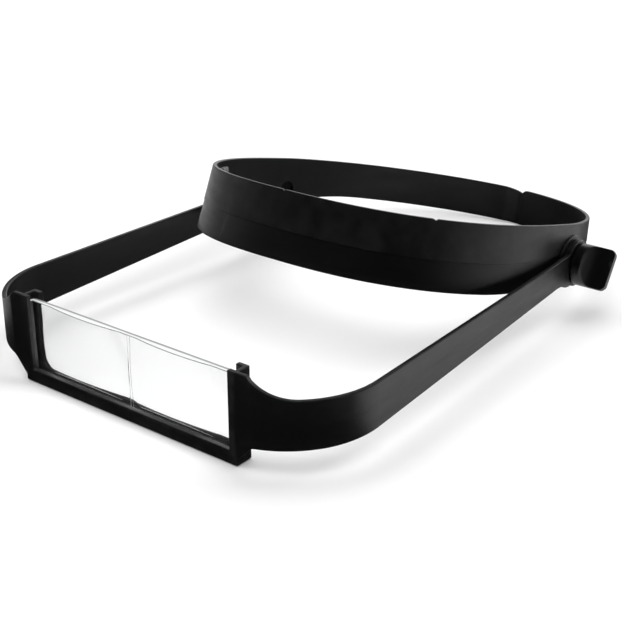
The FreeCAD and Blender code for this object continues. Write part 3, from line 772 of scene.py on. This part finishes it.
def make_lens_shell():
    """The lens plate, swept from end to end; its columns crowd at the seam and the end ribs."""
    spots = {-PLATE_HALF, PLATE_HALF, -RIB_X - 0.03, RIB_X + 0.03, -RIB_X, RIB_X}
    spots |= {0.6 * i for i in range(-84, 85)}
    spots |= {0.09 * i for i in range(-5, 6)}
    edge, rows = PLATE_EDGE, PLATE_ROWS
    ledge = [LEDGE_LOW + LEDGE_PITCH * i for i in range(LEDGE_ROWS)]
    rings = []
    for x in sorted(spots):
        end = max(0.0, edge - (PLATE_HALF - abs(x)))
        low, top, back = PLATE_LOW + end, PLATE_TOP - end, PLATE_BACK - end
        ring = [(back - edge, top), (back, top - edge), (back, low + edge), (back - edge, low)]
        heights = sorted([mix(low + edge, top - edge, i / rows) for i in range(rows + 1)] + ledge)
        ring.append((lens_face(x, low) + edge + end, low))
        ring += [(lens_face(x, z) + end, z) for z in heights]
        ring.append((lens_face(x, top - edge) + edge + end, top))
        rings.append([Vector((x, y, z)) for y, z in ring])
    lens = sweep("lens_shell", rings)
    finish_piece(lens, "lens", ["lens_plate"], clear_plastic(), 28.0)
    lens.visible_shadow = False
    return lens


# ---------------------------------------------------------------- wing knobs

KNOB_RADIUS, KNOB_LENGTH, KNOB_COLLAR = 9.0, 14.4, 3.9
WING_HALF, WING_CORNER, SCOOP_LENGTH, SCOOP_POWER = 1.3, 2.6, 5.5, 3.2
WING_ANGLES = {"left": -32.0, "right": 20.0}
WING_EDGE, WING_LEAST_RADIUS = 0.3, 6.6
SEAT, SOCKET = (4.4, 1.3), (3.2, 5.1)   # (radius, depth) of the steps for washer and insert


def knob_half_thickness(along):
    """Half the knob's thickness: full at the collar, then a scoop down to the flat wing."""
    if along <= KNOB_COLLAR:
        return KNOB_RADIUS
    share = min(1.0, (along - KNOB_COLLAR) / SCOOP_LENGTH)
    return WING_HALF + (KNOB_RADIUS - WING_HALF) * (1 - share) ** SCOOP_POWER


def knob_ring(start, along, radius, half, turn, sign):
    """A section: a circle squeezed softly to a flat wing; points crowd towards the wing's edges."""
    count, crowd, power = 96, 0.8, 12.0
    ring = []
    for i in range(count):
        u = 2 * math.pi * i / count
        angle = u + crowd * math.sin(2 * u) / 2
        across, span = radius * math.cos(angle), radius * math.sin(angle)
        if half < radius and abs(across) > 1e-6:
            across = math.copysign((abs(across) ** -power + half ** -power) ** (-1 / power), across)
        ring.append(Vector((sign * (start + along), PIVOT_Y + across * math.cos(turn)
                            - sign * span * math.sin(turn),
                            PIVOT_Z + sign * across * math.sin(turn) + span * math.cos(turn))))
    return ring


def make_knob(side):
    sign = 1 if side == "left" else -1
    low, high = box_mm(f"wing_knob_{side}")
    start = min(abs(low.x), abs(high.x))
    turn = math.radians(WING_ANGLES[side])
    rings = []
    for along, radius in ((SOCKET[1], 0.4), (SOCKET[1], SOCKET[0]), (SEAT[1], SOCKET[0]),
                          (SEAT[1], SEAT[0]), (0.15, SEAT[0]), (0, SEAT[0] + 0.15)):
        rings.append(knob_ring(start, along, radius, radius + 1, turn, sign))
    edge = WING_EDGE
    stops = [edge * (1 - math.cos(math.pi / 2 * i / 5)) for i in range(6)]
    stops += [0.9 + 0.5 * i for i in range(7)] + [3.95 + 0.22 * i for i in range(27)]
    stops += [KNOB_LENGTH - 4.4 + 0.35 * i for i in range(1, 10)]
    stops += [KNOB_LENGTH - edge + edge * math.sin(math.pi / 2 * i / 5) for i in range(6)]
    for along in sorted(stops):
        near, far = max(0.0, edge - along), max(0.0, edge - (KNOB_LENGTH - along))
        inset = 2 * edge - math.sqrt(edge ** 2 - near ** 2) - math.sqrt(edge ** 2 - far ** 2)
        past = max(0.0, along - (KNOB_LENGTH - WING_CORNER))
        radius = KNOB_RADIUS - WING_CORNER + math.sqrt(max(0.0, WING_CORNER ** 2 - past ** 2))
        half = knob_half_thickness(along)
        radius = max(radius, WING_LEAST_RADIUS) - inset * 0.8
        rings.append(knob_ring(start, along, radius, half - inset, turn, sign))
    knob = sweep(f"knob_shell_{side}", rings)
    nodes = [f"wing_knob_{side}"]
    return finish_piece(knob, f"knob_{side}", nodes, knob_black, 50.0)


# ---------------------------------------------------------------- floor and light

FLOOR_TONE, FLOOR_DEPTH, CARD_DEPTH = 0.86, -0.0003, -0.0002
# Cards seen only in the object's gloss: (from x, to x), (from y, to y), paint tone.
FLOOR_CARDS = {"right_card": ((0.092, 1.2), (0.045, 1.6), FLOOR_TONE),
               "left_card": ((-1.2, -0.12), (-0.01, 1.6), FLOOR_TONE),
               "inner_card": ((-0.019, 0.088), (0.12, 0.222), FLOOR_TONE),
               # The dark card is a painted shadow: the floor's shade beside the far arm, seen only in the
               # gloss.
               "far_shadow_card": ((-0.084, -0.02), (0.03, 0.24), 0.12)}


def floor_paint(name, tone, glow=False):
    """Matt pale paint; a glowing floor stays pale far out, where the lights don't reach."""
    paint = Nodes(name)
    paint.set(Roughness=0.9, Specular_IOR_Level=0.1)
    if glow:
        centre = paint.tree.nodes.new("ShaderNodeTexGradient")
        centre.gradient_type = "SPHERICAL"
        paint.tree.links.new(paint.stretched((0.6, 0.6, 0.6)), centre.inputs["Vector"])
        paint.set(Emission_Color=(1.0, 1.0, 1.0, 1.0))
        paint.use(Emission_Strength=paint.ramp(centre.outputs["Fac"], 0.2, 0.75, 1.0, 0.0))
    return paint.use(Base_Color=paint.ramp(paint.noise(30.0, 3.0), 0.3, 0.7, tone, tone + 0.01))


def make_floor():
    """A broad pale floor, which lights the object from below but isn't mirrored in its gloss. Four
    cards are mirrored there instead: three pale ones, and a dark one beside the far arm, a painted
    shadow standing in for the floor's shade there."""
    half = 9.0
    floor = mesh_object("floor", [(-half, -half, 0), (half, -half, 0), (half, half, 0),
                                  (-half, half, 0)], [(0, 1, 2, 3)])
    floor.data.materials.append(floor_paint("floor_paint", FLOOR_TONE, glow=True))
    floor.location.z = FLOOR_DEPTH
    floor.visible_glossy = False
    for name, ((low_x, high_x), (low_y, high_y), tone) in FLOOR_CARDS.items():
        card = mesh_object(name, [(low_x, low_y, 0), (high_x, low_y, 0), (high_x, high_y, 0),
                                  (low_x, high_y, 0)], [(0, 1, 2, 3)])
        card.data.materials.append(floor_paint(name, tone))
        card.location.z = CARD_DEPTH
        card.visible_camera = card.visible_diffuse = card.visible_transmission = False
        card.visible_shadow = False


def area_light(name, place, aim, width, height, power, glossy=True):
    lamp = bpy.data.lights.new(name, "AREA")
    lamp.shape, lamp.size, lamp.size_y, lamp.energy = "RECTANGLE", width, height, power
    obj = bpy.data.objects.new(name, lamp)
    bpy.context.scene.collection.objects.link(obj)
    obj.location = place
    obj.rotation_mode = "QUATERNION"
    obj.rotation_quaternion = (Vector(aim) - Vector(place)).to_track_quat("-Z", "Y")
    obj.visible_camera = False
    obj.visible_glossy = glossy


WORLD_UNSEEN, WORLD_SEEN = (0.03, 0.03, 0.03, 1), (1, 1, 1, 1)


def make_light():
    """Four lamps, and a world that is white only where it is seen straight or through the lens. For
    every other ray, in the gloss and as light on the object, it is nearly dark."""
    world = bpy.data.worlds.new("studio")
    bpy.context.scene.world = world
    world.use_nodes = True
    nodes, links = world.node_tree.nodes, world.node_tree.links
    path, shade = nodes.new("ShaderNodeLightPath"), nodes.new("ShaderNodeMix")
    seen = nodes.new("ShaderNodeMath")
    seen.operation = "MAXIMUM"
    shade.data_type = "RGBA"
    shade.inputs[6].default_value = WORLD_UNSEEN
    shade.inputs[7].default_value = WORLD_SEEN
    links.new(path.outputs["Is Camera Ray"], seen.inputs[0])
    links.new(path.outputs["Is Transmission Ray"], seen.inputs[1])
    links.new(seen.outputs["Value"], shade.inputs["Factor"])
    links.new(shade.outputs[2], nodes["Background"].inputs["Color"])
    middle = (0.0, 0.14, 0.03)
    area_light("overhead", (0.0, 0.15, 1.5), middle, 2.6, 2.6, 50.0, glossy=False)
    area_light("behind", (-0.45, 1.5, 0.42), middle, 2.2, 0.75, 9.3)
    area_light("left_low", (-1.30, -0.25, 0.42), middle, 0.9, 0.5, 0.9)
    area_light("right_edge", (0.60, 1.08, 0.80), middle, 0.45, 0.45, 2.4)
    view = bpy.context.scene.view_settings
    view.view_transform, view.look, view.exposure = "Standard", "None", 0.0


# ---------------------------------------------------------------- build

make_band_shell()
make_brow_pad()
make_visor_shell()
make_lens_shell()
for knob_side in ("left", "right"):
    make_knob(knob_side)
finish_cad_nodes()
make_floor()
make_light()
